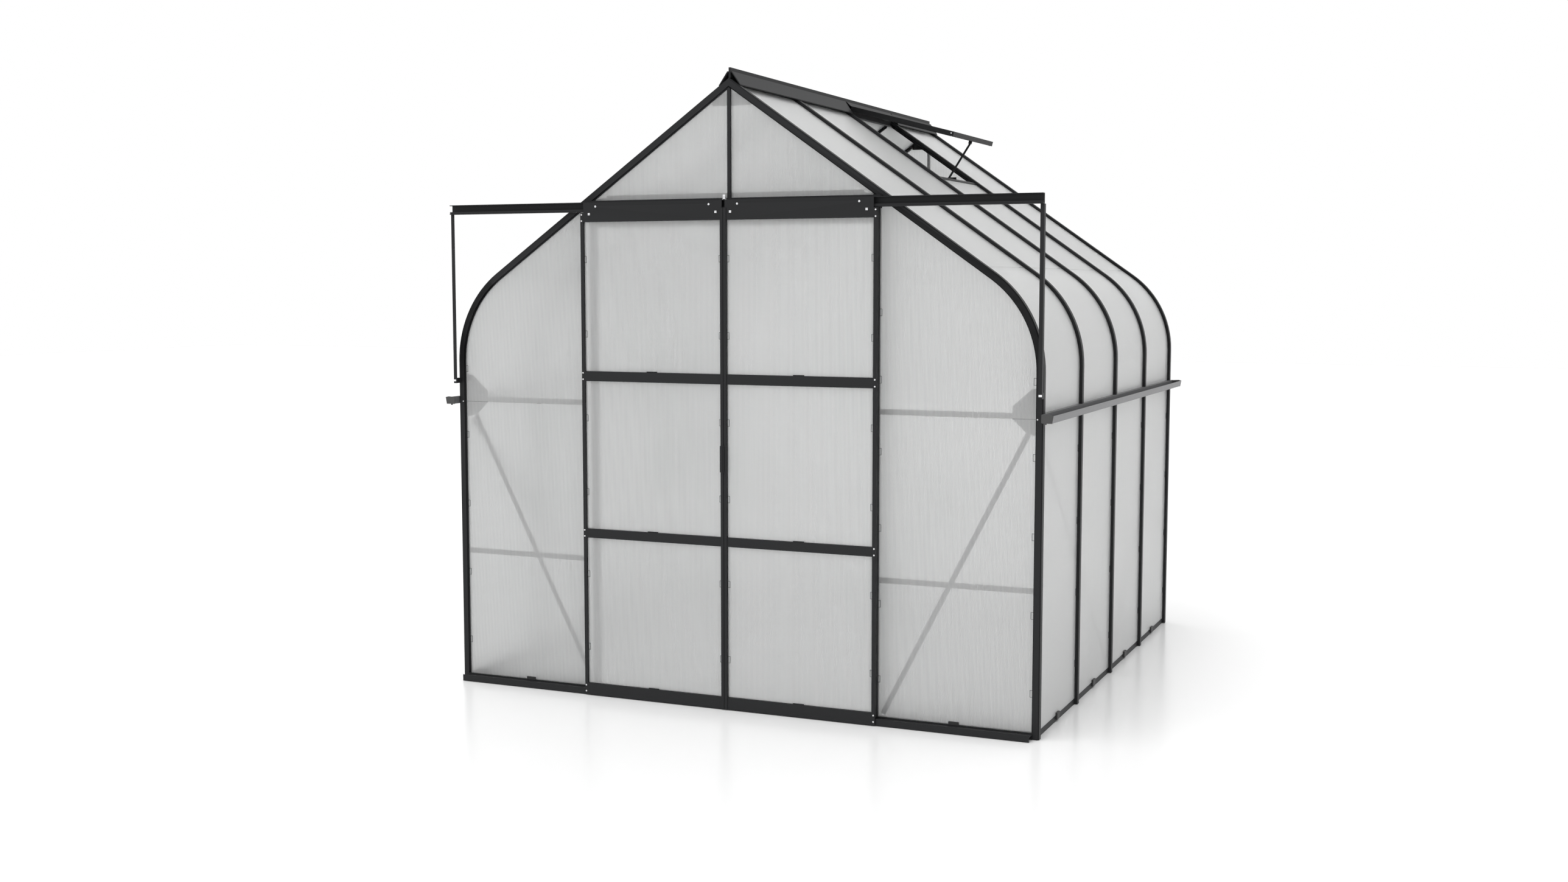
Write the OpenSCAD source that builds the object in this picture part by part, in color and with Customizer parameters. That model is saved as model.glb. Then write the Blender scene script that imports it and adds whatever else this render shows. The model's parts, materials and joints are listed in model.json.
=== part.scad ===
// Walk-in greenhouse with curved eaves, four bays, sliding double doors and a roof vent.
// X runs across the gable, Y from the doors (front, -Y) to the rear, Z up.
// The origin is on the ground at the middle of the object's box.
// Most modules work in gable coordinates, where y = 0 is the front gable's outer face.

/* [Overall] */
// Width over the corner posts
body_w = 2550; // [2300:10:2800]
// Length of one bay between bar centres
bay_l = 610; // [550:5:700]
// Number of bays
bay_count = 4; // [4:1:6]
// Height at which the wall plane and the roof plane would meet
eaves_corner_z = 1608; // [1550:2:1750]
// Roof pitch in degrees
roof_pitch = 35; // [33:1:38]
// Outer radius of the curved eaves
bend_r = 450; // [400:10:500]

/* [Frame bars] */
// Width of a corner or gable bar without its lip
post_w = 25; // [22:1:28]
// Depth of a corner or gable bar
post_d = 29; // [27:1:32]
// Width of the lip that holds the gable panes
lip_w = 5; // [4:1:8]
// Width of a wall or roof bar's cap
bar_w = 25; // [22:1:30]
// How far a bar's cap stands proud of the panes
bar_proud = 13; // [10:1:15]
// Depth of a bar from cap to inner edge
bar_d = 26; // [24:1:30]
// Pane thickness
pane_t = 4; // [4:1:6]
// Height of the sill's front face
sill_h = 20; // [18:1:24]

/* [Gutter] */
// Underside of the gutter
gutter_z = 1192; // [1150:1:1200]
// Height of the gutter
gutter_h = 31; // [28:1:36]
// Reach of the gutter outside the posts
gutter_w = 47; // [40:1:60]
// Overhang of the gutter past each gable
gutter_over = 30; // [20:1:60]

/* [Doors] */
// Half width of the pair of doors
doors_half_w = 641; // [600:1:660]
// Distance from the gable's outer face to the doors' outer face
door_out = 53; // [53:1:56]
// Height of the door's top plate at its upper edge
door_top_z = 2027; // [1950:1:2040]
// Depth of the door's frame
door_d = 19; // [17:1:20]
// Running radius of a door roller
roller_r = 10; // [9:0.5:11]

/* [Vent] */
// Bay that holds the roof vent, counted from the front
vent_bay = 3; // [2:1:4]
// Length of the vent down the slope
vent_l = 510; // [450:5:560]
// Slope of the vent as it stands open, in degrees
vent_open_slope = 15; // [10:1:20]
// Length of the vent stay from its pivot to its end
stay_l = 200; // [180:5:210]

/* [Hidden] */
$fn = 48;

// Colours
frame_color = "#26282a";
light_trim = "#55585b";
pane_color = "#dfe5e6";
zinc = "#c9cccf";
nylon = "#3a3a3c";

// Overall shape
half_w = body_w / 2;
length = bay_l * bay_count;
apex_z = eaves_corner_z + half_w * tan(roof_pitch);
bend_turn = 90 - roof_pitch;
bend_c = [half_w - bend_r, eaves_corner_z - bend_r * tan(bend_turn / 2)];
pane_out = bar_proud;
pane_in = bar_proud + pane_t;
ledge_t = 3;
ledge_w = 32;
stem_w = 12;
gap = 0.5;
plate_t = 2;

// Levels
gutter_top = gutter_z + gutter_h;
seam_z = 1765;
post_seam_z = 1207;
seam_bolt_x = half_w - 21;
seam_bolt_r = 2.5;
girt_h = 20;
mid_girt_z = 549;
eaves_girt_z = post_seam_z - 5;
upper_girt_z = 1793;
sill_back_h = 24;

// Ridge
ridge_top = apex_z + 41;
ridge_cover_z = ridge_top - 15;
ridge_cover_t = 4;
ridge_wall = 3;
ridge_half = 14;
web_half = 4;
skirt_x = 45;
web_d = 12;
ridge_box_d = 34;

// Front wall
jamb_in = 605;
jamb_out = 630;
header_z = 1985;
header_top = 2035;
header_drop = 56;
header_rise = 22;
header_in = 560;
header_wall = 8;
header_lip = 10;
handle_out = 9;
gable_pane_y = 11;
cap_t = 3;
front_y = -(length + gutter_over + cap_t - door_out - handle_out) / 2;

// Door track
track_top = door_top_z + 1;
track_h = 39;
track_t = 3;
track_front = -46;
track_back = -23;
rib_y = -42;
rib_t = 3;
axle_z = door_top_z - 17;
door_bolt_r = 4;
stile_bolt_r = 3;
stile_bolt_zs = [17, 42, 666, 691, 1312, 1338, 1953, 1978];
square_half = 4.5;
square_z = axle_z - 30;
rib_top = axle_z - roller_r - 0.1;
track_half = half_w + 1;
leg_w = 15;
leg_x = half_w - 12;
leg_bottom = 1280;
leg_front = -34;
leg_back = -14;
leg_t = 3;
leg_foot_h = 22;
leg_bolt_z = 8;
leg_bolt_h = 8;

// Door
door_y = -door_out;
plate_back = door_y + 3;
door_back = door_y + door_d;
meet_gap = 1;
inner_stile = 13;
outer_stile = doors_half_w - 14;
top_plate_h = 75;
top_plate_z = door_top_z - top_plate_h;
mid_rails = [[660, 697], [1305, 1345]];
bottom_rail_top = 52;
door_clear = 3;
sill_lip = [-46, -43, 27];
sill_clear_z = 32;
door_mid = doors_half_w / 2 - 5;
roller_pitch = 508;
fixing_pitch = 568;
axle_r = 3;
bore_r = 3.05;

// Vent
vent_y0 = (vent_bay - 1) * bay_l;
vent_y1 = vent_y0 + bay_l;
vent_side = 4;
hinge_x = 33;
hinge_z = apex_z - 2.8;
vent_rail = 18;
vent_head = 8;
strap_end = 15;
strap_w = 20;
vent_top = 8;
vent_under = -14;
crossbar_x = [438, 450];
pivot_u = 500;
pivot_v = -22;
stay_y = (vent_y0 + vent_y1) / 2 - 2;
stay_t = 3;
stay_w = 9;
stay_slope = 123;
pivot_x = hinge_x + pivot_u * cos(vent_open_slope) + pivot_v * sin(vent_open_slope);
pivot_z = hinge_z - pivot_u * sin(vent_open_slope) + pivot_v * cos(vent_open_slope);
peg_x = pivot_x + (stay_l - 8) * cos(stay_slope);
peg_z = pivot_z - (stay_l - 8) * sin(stay_slope);
knuckle_l = 60;
knuckle_r = 6;
knuckle_ys = [for (i = [1, 3, 5]) vent_y0 + bay_l * i / 6];

// ---------- helpers ----------

module placed() translate([0, front_y, 0]) children();

module left_side() mirror([1, 0, 0]) children();

module both_sides() {
    children();
    left_side() children();
}

// Turns the front gable round to make the rear one
module rear_end() translate([0, length, 0]) mirror([0, 1, 0]) children();

// Extrudes an outline drawn in X and Z from y0 to y1
module along_y(y0, y1) translate([0, y1, 0]) rotate([90, 0, 0]) linear_extrude(y1 - y0) children();

module block(x0, x1, y0, y1, z0, z1) translate([x0, y0, z0]) cube([x1 - x0, y1 - y0, z1 - z0]);

// Solid pin along Y
module pin_y(x, z, y0, y1, r) translate([x, y1, z]) rotate([90, 0, 0]) cylinder(h = y1 - y0, r = r);

module rect(x0, x1, z0, z1) translate([x0, z0]) square([x1 - x0, z1 - z0]);

// Right half of the cross-section, drawn in by off from the outer surface
module inside(off) {
    r = bend_r - off;
    polygon([[0, 0], [half_w - off, 0], [half_w - off, bend_c[1]], bend_c,
             bend_c + r * [sin(roof_pitch), cos(roof_pitch)], [0, apex_z - off / cos(roof_pitch)]]);
    translate(bend_c) circle(r = r, $fn = 96);
}

// Strip of the cross-section between two depths below the outer surface
module band(from, to, x0, x1, z0, z1) intersection() {
    difference() {
        inside(from);
        inside(to);
    }
    rect(x0, x1, z0, z1);
}

// Flat bar between two points of an X-Z plane
module flat_bar(a, b, w, y0, y1) {
    run = norm(b - a);
    turn = atan2(b[1] - a[1], b[0] - a[0]);
    along_y(y0, y1) translate(a) rotate(turn) translate([0, -w / 2]) square([run, w]);
}

// ---------- sills ----------

module front_sill_run(x0, x1) {
    block(x0, x1, sill_lip[0], sill_lip[1], 0, sill_lip[2]);
    block(x0, x1, sill_lip[1], 0, sill_h - 3, sill_h);
    block(x0, x1, 0, post_w, 0, sill_back_h);
}

module front_sills() color(frame_color) placed() both_sides()
    front_sill_run(jamb_out + gap, half_w - post_w - gap);

module door_threshold() color(frame_color) placed()
    front_sill_run(-jamb_out, jamb_out);

module side_sill() {
    x1 = half_w - bar_proud;
    block(x1 - 40, x1, post_d + gap, length - post_d - gap, 0, 4);
    block(x1 - 4, x1, post_d + gap, length - post_d - gap, 4, sill_back_h);
}

module side_sill_left() color(frame_color) placed() left_side() side_sill();

module side_sill_right() color(frame_color) placed() side_sill();

module rear_sill() color(frame_color) placed() rear_end() {
    block(-half_w + post_w + gap, half_w - post_w - gap, 0, post_w, 0, sill_back_h);
}

// ---------- corner posts and bars ----------

module corner_post() {
    front_step = 4;
    x1 = half_w;
    block(x1 - post_w, x1 - front_step, 0, front_step, 0, post_seam_z);
    block(x1 - post_w, x1, front_step, post_d, 0, post_seam_z);
    block(x1 - post_w - lip_w, x1 - post_w, gable_pane_y - 3, gable_pane_y, sill_back_h, post_seam_z);
}

module front_post_left() color(frame_color) placed() left_side() corner_post();

module front_post_right() color(frame_color) placed() corner_post();

module rear_posts() color(frame_color) placed() rear_end() both_sides() corner_post();

module gable_bar() {
    front_step = 4;
    z0 = post_seam_z;
    along_y(0, front_step) band(front_step, post_w, 0, half_w, z0, apex_z);
    along_y(front_step, post_d) band(0, post_w, 0, half_w, z0, apex_z);
    along_y(gable_pane_y - 3, gable_pane_y) band(post_w, post_w + lip_w, 0, half_w, z0, apex_z);
    along_y(post_d, post_d + 7) band(pane_in, pane_in + ledge_t, ridge_half, half_w, gutter_top, apex_z);
}

module front_gable_bar_left() color(frame_color) placed() left_side() gable_bar();

module front_gable_bar_right() color(frame_color) placed() gable_bar();

module rear_gable_bars() color(frame_color) placed() rear_end() both_sides() gable_bar();

module wall_bar() {
    x1 = half_w;
    block(x1 - bar_proud, x1, -bar_w / 2, bar_w / 2, 0, gutter_z);
    block(x1 - bar_d, x1 - bar_proud, -stem_w / 2, stem_w / 2, sill_back_h, gutter_z);
    block(x1 - pane_in - ledge_t, x1 - pane_in, -ledge_w / 2, ledge_w / 2, sill_back_h, gutter_z);
}

module wall_bars() for (i = [1 : bay_count - 1]) translate([0, i * bay_l, 0]) wall_bar();

module wall_bars_left() color(frame_color) placed() left_side() wall_bars();

module wall_bars_right() color(frame_color) placed() wall_bars();

module roof_bar() {
    x0 = ridge_half;
    along_y(-bar_w / 2, bar_w / 2) band(0, bar_proud, x0, half_w, gutter_top, apex_z);
    along_y(-stem_w / 2, stem_w / 2) band(bar_proud, bar_d, x0, half_w, gutter_top, apex_z);
    along_y(-ledge_w / 2, ledge_w / 2)
        band(pane_in, pane_in + ledge_t, x0, half_w, gutter_top, apex_z);
}

module roof_bars() for (i = [1 : bay_count - 1]) translate([0, i * bay_l, 0]) roof_bar();

module roof_bars_left() color(frame_color) placed() left_side() roof_bars();

module roof_bars_right() color(frame_color) placed() roof_bars();

// ---------- ridge, vent surround ----------

module skirt() polygon([[web_half, ridge_cover_z - ridge_cover_t], [web_half, ridge_cover_z], [10, ridge_cover_z],
    [skirt_x + 2, apex_z - 26.8], [skirt_x, apex_z - 30.3], [8, ridge_cover_z - ridge_cover_t]]);

module ridge_beam() color(frame_color) placed() {
    y0 = 10;
    y1 = length - 10;
    along_y(y0, y1) rect(-web_half, web_half, apex_z + gap, ridge_top);
    along_y(post_d + gap, length - post_d - gap) rect(-web_half, web_half, apex_z - web_d, apex_z + gap);
    along_y(post_d + gap, length - post_d - gap) difference() {
        rect(-ridge_half + gap, ridge_half - gap, apex_z - ridge_box_d, apex_z - web_d);
        rect(-ridge_half + 4, ridge_half - 4, apex_z - ridge_box_d + ridge_wall, apex_z - web_d - ridge_wall);
    }
    along_y(y0, vent_y0 - 1) skirt();
    along_y(vent_y1 + 1, y1) skirt();
    along_y(y0, y1) mirror([1, 0]) skirt();
}

module vent_hinge_rail() color(frame_color) placed() {
    y0 = vent_y0 + 16;
    y1 = vent_y1 - 16;
    along_y(y0, y1) polygon([[web_half, ridge_cover_z - ridge_cover_t], [web_half, ridge_cover_z],
        [10, ridge_cover_z], [hinge_x - 2, hinge_z + 9], [hinge_x - 4, hinge_z + 7],
        [9, ridge_cover_z - ridge_cover_t]]);
    for (y = knuckle_ys) difference() {
        union() {
            pin_y(hinge_x, hinge_z, y - knuckle_l / 2, y + knuckle_l / 2, knuckle_r);
            block(hinge_x - 5, hinge_x - 2, y - knuckle_l / 2, y + knuckle_l / 2, hinge_z + 3, hinge_z + 9);
        }
        pin_y(hinge_x, hinge_z, y - knuckle_l, y + knuckle_l, bore_r);
    }
}

module vent_crossbar() color(frame_color) placed() {
    along_y(vent_y0 + bar_w / 2 + gap, vent_y1 - bar_w / 2 - gap)
        band(9, pane_in - gap, crossbar_x[0], crossbar_x[1], 0, apex_z);
    along_y(vent_y0 + ledge_w / 2 + gap, vent_y1 - ledge_w / 2 - gap)
        band(pane_in - gap, 30, crossbar_x[0], crossbar_x[1], 0, apex_z);
    arm_y = stay_y + 9;
    block(peg_x - 7, crossbar_x[0] + 2, arm_y, arm_y + 3, peg_z - 9, peg_z + 6);
    pin_y(peg_x, peg_z, stay_y + stay_t + 1, arm_y + 1, axle_r);
}

// ---------- gutters ----------

module gutter() {
    t = 2;
    x0 = half_w + 1;
    x1 = half_w + gutter_w;
    along_y(-gutter_over, length + gutter_over) polygon([[x0, gutter_z + 3], [x0 + 3, gutter_z],
        [x1 - 5, gutter_z], [x1, gutter_z + 27], [x1 - t, gutter_z + 27], [x1 - 5 - t, gutter_z + t],
        [x0 + 4, gutter_z + t], [x0 + t, gutter_z + 4], [x0 + t, gutter_top], [x0, gutter_top]]);
    end_y = post_d + plate_t + gap;
    along_y(end_y, length - end_y) difference() {
        rect(half_w - bar_d, x0, gutter_z, gutter_top);
        rect(half_w - bar_d + 3, half_w - 2, gutter_z + 3, gutter_top - 3);
    }
}

module gutter_left() color(light_trim) placed() left_side() gutter();

module gutter_right() color(light_trim) placed() gutter();

module gutter_cap() {
    x0 = half_w + 1;
    x1 = half_w + gutter_w;
    along_y(-gutter_over - cap_t, -gutter_over) polygon([[x0, gutter_z + 2], [x0 + 3, gutter_z - 1],
        [x1 - 5, gutter_z - 1], [x1, gutter_z + 28], [x1 - 14, gutter_z + 31], [x0, gutter_z + 29]]);
    block(x0 + 12, x0 + 20, -gutter_over - cap_t, -gutter_over, gutter_z - 5, gutter_z - 1);
}

module gutter_end_caps() color(frame_color) placed() both_sides() {
    gutter_cap();
    rear_end() gutter_cap();
}

// ---------- gables ----------

module door_jambs() color(frame_color) placed() both_sides() along_y(0.1, post_w) intersection() {
    inside(post_w + lip_w + gap);
    rect(jamb_in, jamb_out, sill_back_h + gap, apex_z);
}

module door_header() color(frame_color) placed() {
    lip_z = header_z + 4;
    back_y = post_w - 3;
    block(-doors_half_w, doors_half_w, track_back, 0, header_z, header_top);
    block(-jamb_in + gap, jamb_in - gap, 0, header_wall, header_z, header_top);
    block(-jamb_in + gap, jamb_in - gap, header_wall, post_w, header_z, lip_z);
    block(-jamb_in + gap, jamb_in - gap, gable_pane_y + pane_t, post_w, lip_z, header_top + header_lip);
    block(-jamb_in + gap, jamb_in - gap, back_y, post_w, header_z - header_drop, header_z);
    block(-header_in, header_in, back_y, post_w, header_top + header_lip, header_top + header_rise);
}

module gable_mullion() color(frame_color) placed() along_y(1, gable_pane_y) intersection() {
    union() {
        inside(post_w + lip_w + gap);
        mirror([1, 0]) inside(post_w + lip_w + gap);
    }
    rect(-7, 7, header_top, apex_z);
}

module rear_mullion(x) along_y(1, gable_pane_y) intersection() {
    inside(post_w + lip_w + gap);
    rect(x - 7, x + 7, sill_back_h, apex_z);
}

module rear_mullions() color(frame_color) placed() rear_end() {
    both_sides() rear_mullion(jamb_out);
    along_y(1, gable_pane_y) intersection() {
        union() {
            inside(post_w + lip_w + gap);
            mirror([1, 0]) inside(post_w + lip_w + gap);
        }
        rect(-7, 7, sill_back_h, apex_z);
    }
}

module girt(x0, x1, z) block(x0, x1, gable_pane_y + pane_t, post_d - 1, z, z + girt_h);

module front_girts() color(frame_color) placed() both_sides() {
    girt(jamb_out + gap, half_w - post_w - gap, mid_girt_z);
    girt(jamb_out + gap, half_w - post_w - gap, eaves_girt_z);
}

module rear_girts() color(frame_color) placed() rear_end() {
    girt(-half_w + post_w + gap, half_w - post_w - gap, mid_girt_z);
    girt(-half_w + post_w + gap, half_w - post_w - gap, eaves_girt_z);
    upper_half = (apex_z - upper_girt_z - girt_h) / tan(roof_pitch) - 60;
    girt(-upper_half, upper_half, upper_girt_z);
}

module gable_brace() flat_bar([half_w - 64, 1143], [jamb_out + 14, 32], girt_h, post_d + 2.5, post_d + 4.5);

module front_braces() color(frame_color) placed() {
    both_sides() gable_brace();
    rear_end() both_sides() gable_brace();
}

module side_brace(y0, z0, y1, z1) {
    run = norm([y1 - y0, z1 - z0]);
    turn = atan2(z1 - z0, y1 - y0);
    translate([half_w - bar_d - 3, y0, z0]) rotate([turn, 0, 0]) translate([0, 0, -girt_h / 2])
        cube([2, run, girt_h]);
}

module side_braces() color(frame_color) placed() both_sides() {
    side_brace(60, 1120, length / 2 - 18, 35);
    side_brace(length - 60, 1120, length / 2 + 18, 35);
}

module eaves_gusset() {
    x1 = half_w - post_w + 4;
    along_y(post_d, post_d + plate_t) polygon([[x1, 1318], [x1 - 30, 1312], [x1 - 102, 1248],
        [x1 - 104, 1200], [x1 - 46, 1145], [x1, 1136]]);
}

module apex_gusset() along_y(post_d, post_d + plate_t) intersection() {
    union() {
        inside(post_w - 4);
        mirror([1, 0]) inside(post_w - 4);
    }
    rect(-82, 82, apex_z - 105, apex_z - 57);
}

module gusset_plates() color(frame_color) placed() {
    both_sides() eaves_gusset();
    apex_gusset();
    rear_end() {
        both_sides() eaves_gusset();
        apex_gusset();
    }
}

// ---------- door track ----------

module door_track() color(frame_color) placed() {
    z0 = track_top - track_h;
    block(-track_half, track_half, track_back - track_t, track_back, z0, track_top);
    block(-track_half, track_half, track_front, track_back - track_t, track_top - track_t, track_top);
    block(-track_half, track_half, track_front, track_back - track_t, z0, z0 + track_t);
    block(-track_half, track_half, rib_y - rib_t / 2, rib_y + rib_t / 2, z0 + track_t, rib_top);
}

module track_leg() {
    z1 = track_top - track_h;
    block(leg_x, leg_x + leg_w, leg_front, leg_front + leg_t, leg_bottom, z1);
    block(leg_x + leg_w - leg_t, leg_x + leg_w, leg_front + leg_t, leg_back, leg_bottom, z1);
    block(leg_x + leg_t, leg_x + leg_w, leg_front + leg_t, 0, leg_bottom, leg_bottom + leg_foot_h);
}

module track_legs() color(frame_color) placed() both_sides() track_leg();

// ---------- panes ----------

function bay_start(i) = i == 0 ? post_d + gap : i * bay_l + stem_w / 2 + 2;
function bay_end(i) = i == bay_count - 1 ? length - post_d - gap : (i + 1) * bay_l - stem_w / 2 - 2;

module wall_panes() color(pane_color) placed() both_sides() for (i = [0 : bay_count - 1])
    block(half_w - pane_in, half_w - pane_out, bay_start(i), bay_end(i), sill_back_h, gutter_z);

module eave_panes() for (i = [0 : bay_count - 1])
    along_y(bay_start(i), bay_end(i)) band(pane_out, pane_in, 0, half_w, gutter_top, seam_z - 1);

module eave_panes_left() color(pane_color) placed() left_side() eave_panes();

module eave_panes_right() color(pane_color) placed() eave_panes();

module roof_pane(i, x0) along_y(bay_start(i), bay_end(i))
    band(pane_out, pane_in, x0, half_w, seam_z, apex_z);

module roof_panes() color(pane_color) placed() for (i = [0 : bay_count - 1]) {
    left_side() roof_pane(i, ridge_half + 1);
    roof_pane(i, i == vent_bay - 1 ? crossbar_x[1] + gap : ridge_half + 1);
}

module gable_pane(x0, x1, z0, z1) along_y(gable_pane_y, gable_pane_y + pane_t) intersection() {
    inside(post_w + 1);
    rect(x0, x1, z0, z1);
}

module front_panes() color(pane_color) placed() both_sides() {
    gable_pane(jamb_out + 1, half_w, sill_back_h, post_seam_z - 6);
    gable_pane(jamb_out + 1, half_w, post_seam_z - 5, apex_z);
    gable_pane(1, jamb_in - 1, header_top + 1, apex_z);
}

module rear_panes() color(pane_color) placed() rear_end() both_sides() {
    gable_pane(jamb_out + 1, half_w, sill_back_h, post_seam_z - 6);
    gable_pane(jamb_out + 1, half_w, post_seam_z - 5, apex_z);
    gable_pane(1, jamb_out - 1, sill_back_h, post_seam_z - 6);
    gable_pane(1, jamb_out - 1, post_seam_z - 5, upper_girt_z - 1);
    gable_pane(1, jamb_out - 1, upper_girt_z, apex_z);
}

// ---------- frame bolts ----------

module bolt_front(x, z, y, r = 5) pin_y(x, z, y - 3, y, r);

module gusset_bolts() {
    x1 = half_w - post_w;
    y = post_d + plate_t + 3;
    for (p = [[x1 - 26, 1290], [x1 - 24, 1240], [x1 - 75, 1220], [x1 - 24, 1212], [x1 - 22, 1168]])
        bolt_front(p[0], p[1], y);
}

module frame_bolts() color(zinc) placed() {
    both_sides() {
        gusset_bolts();
        block(leg_x + leg_t, leg_x + leg_w, leg_front - leg_t, leg_front, leg_bottom + leg_bolt_z,
            leg_bottom + leg_bolt_z + leg_bolt_h);
        bolt_front(seam_bolt_x, post_seam_z - 5, 0, seam_bolt_r);
    }
    rear_end() both_sides() {
        gusset_bolts();
        bolt_front(seam_bolt_x, post_seam_z - 5, 0, seam_bolt_r);
    }
}

// ---------- sliding doors, drawn on the right and mirrored ----------

module door_stiles() {
    z_top = top_plate_z - 4;
    block(meet_gap, inner_stile, door_y - 3, door_back, sill_clear_z, z_top);
    block(meet_gap, inner_stile, door_y - 3, door_y, z_top, door_top_z - 31);
    block(meet_gap, inner_stile, door_y - 3, plate_back, door_clear, sill_clear_z);
    block(outer_stile, doors_half_w, door_y, door_back, sill_clear_z, track_top - track_h - 3);
    block(outer_stile, doors_half_w, door_y, plate_back, door_clear, sill_clear_z);
}

module door_top_rail() difference() {
    union() {
        block(6.5, outer_stile - 0.1, door_y, plate_back, top_plate_z, door_top_z);
        block(inner_stile + 0.1, outer_stile - 0.1, door_y, door_back, top_plate_z - 3, top_plate_z);
    }
    for (side = [-1, 1])
        pin_y(door_mid + side * roller_pitch / 2, axle_z, door_y - 1, plate_back + 1, bore_r);
}

module door_rail(z0, z1) difference() {
    block(inner_stile + 0.1, outer_stile - 0.1, door_y, door_back, z0, z1);
    block(inner_stile + 3, outer_stile - 3, plate_back, door_back + 1, z0 + 3, z1 - 3);
}

module door_rails() {
    for (r = mid_rails) door_rail(r[0], r[1]);
    block(inner_stile + 0.1, outer_stile - 0.1, door_y, plate_back, door_clear, bottom_rail_top);
    block(inner_stile + 0.1, outer_stile - 0.1, plate_back, door_back,
        bottom_rail_top - 3, bottom_rail_top);
}

module door_pane(z0, z1) block(inner_stile + 1, outer_stile - 1, door_y + 8, door_y + 8 + pane_t,
    z0 + gap, z1 - gap);

module door_panes() {
    door_pane(bottom_rail_top, mid_rails[0][0]);
    door_pane(mid_rails[0][1], mid_rails[1][0]);
    door_pane(mid_rails[1][1], top_plate_z - 3);
}

module door_handle() {
    z0 = 957;
    z1 = 1062;
    block(meet_gap - 0.2, inner_stile + 2, door_y - 5, door_y - 3, z0, z1);
    block(meet_gap - 0.2, inner_stile - 9, door_y - handle_out, door_y - 5, z0, z1);
    block(inner_stile, inner_stile + 2, door_y - 3, door_y, z0, z1);
}

module door_fixings() {
    for (side = [-1, 1]) {
        x = door_mid + side * roller_pitch / 2;
        pin_y(x, axle_z, door_y - 3, door_y, door_bolt_r);
        pin_y(x, axle_z, door_y - 1, -36, axle_r);
        pin_y(x, axle_z, -37.2, -34.5, 4.5);
        square_x = door_mid + side * fixing_pitch / 2;
        block(square_x - square_half, square_x + square_half, door_y - 3, door_y,
            square_z - square_half, square_z + square_half);
    }
    for (z = stile_bolt_zs)
        pin_y(doors_half_w - 6, z, door_y - 2, door_y, stile_bolt_r);
}

module door_guides() for (side = [-1, 1]) {
    x = door_mid + side * roller_pitch / 2;
    block(x - 20, x + 20, plate_back, -39, 30, 38);
    block(x - 20, x + 20, -42, -39, 22, 30);
}

module door_roller(side) translate([door_mid + side * roller_pitch / 2, rib_y, axle_z])
    rotate([90, 0, 0]) rotate_extrude() polygon([[bore_r, -4.5], [12.5, -4.5], [12.5, -2.5],
        [roller_r, -2], [roller_r, 2], [12.5, 2.5], [12.5, 4.5], [bore_r, 4.5]]);

module left_door_stiles() color(frame_color) placed() left_side() door_stiles();
module left_door_top_rail() color(frame_color) placed() left_side() door_top_rail();
module left_door_rails() color(frame_color) placed() left_side() door_rails();
module left_door_panes() color(pane_color) placed() left_side() door_panes();
module left_door_handle() color(frame_color) placed() left_side() door_handle();
module left_door_fixings() color(zinc) placed() left_side() door_fixings();
module left_door_guides() color(nylon) placed() left_side() door_guides();
module left_inner_roller() color(nylon) placed() left_side() door_roller(-1);
module left_outer_roller() color(nylon) placed() left_side() door_roller(1);

module right_door_stiles() color(frame_color) placed() door_stiles();
module right_door_top_rail() color(frame_color) placed() door_top_rail();
module right_door_rails() color(frame_color) placed() door_rails();
module right_door_panes() color(pane_color) placed() door_panes();
module right_door_handle() color(frame_color) placed() door_handle();
module right_door_fixings() color(zinc) placed() door_fixings();
module right_door_guides() color(nylon) placed() door_guides();
module right_inner_roller() color(nylon) placed() door_roller(-1);
module right_outer_roller() color(nylon) placed() door_roller(1);

// ---------- roof vent, drawn flat from its hinge axis ----------

module vent_place() translate([hinge_x, 0, hinge_z]) rotate([0, vent_open_slope, 0]) children();

module vent_frame() color(frame_color) placed() vent_place() {
    y0 = vent_y0 + vent_side;
    y1 = vent_y1 - vent_side;
    block(vent_head, vent_head + vent_rail, y0, y1, vent_under, vent_top);
    block(vent_l - vent_rail, vent_l, y0, y1, vent_under, vent_top);
    block(vent_head, vent_l, y0, y0 + vent_rail, vent_under, vent_top);
    block(vent_head, vent_l, y1 - vent_rail, y1, vent_under, vent_top);
    block(vent_head, vent_l, y0 + vent_rail - 1, y0 + vent_rail + 7, vent_under, vent_under + 3);
    block(vent_head, vent_l, y1 - vent_rail - 7, y1 - vent_rail + 1, vent_under, vent_under + 3);
    pin_y(0, 0, y0 + strap_end, y1 - strap_end, axle_r);
    for (y = [y0 + strap_end, knuckle_ys[0] + 40, knuckle_ys[1] + 40, y1 - strap_end - strap_w])
        block(-1, vent_head + 1, y, y + strap_w, -2, 2);
    block(pivot_u - 8, pivot_u + 8, stay_y - 6, stay_y - 3, pivot_v - 6, vent_under + 1);
    pin_y(pivot_u, pivot_v, stay_y - 5, stay_y + stay_t + 1.5, axle_r);
    pin_y(pivot_u, pivot_v, stay_y + stay_t + 1, stay_y + stay_t + 3, 5);
}

module vent_pane() color(pane_color) placed() vent_place()
    block(vent_head + vent_rail + gap, vent_l - vent_rail - gap,
        vent_y0 + vent_side + vent_rail + gap, vent_y1 - vent_side - vent_rail - gap,
        vent_under + 3, vent_under + 3 + pane_t);

module vent_stay() color(frame_color) placed() translate([pivot_x, 0, pivot_z])
    rotate([0, stay_slope, 0]) along_y(stay_y, stay_y + stay_t) difference() {
        union() {
            rect(0, stay_l - stay_w / 2, -stay_w / 2, stay_w / 2);
            circle(d = stay_w + 3);
            translate([stay_l - stay_w / 2, 0]) circle(d = stay_w);
        }
        circle(r = bore_r);
    }

// ---------- nodes ----------

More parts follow.
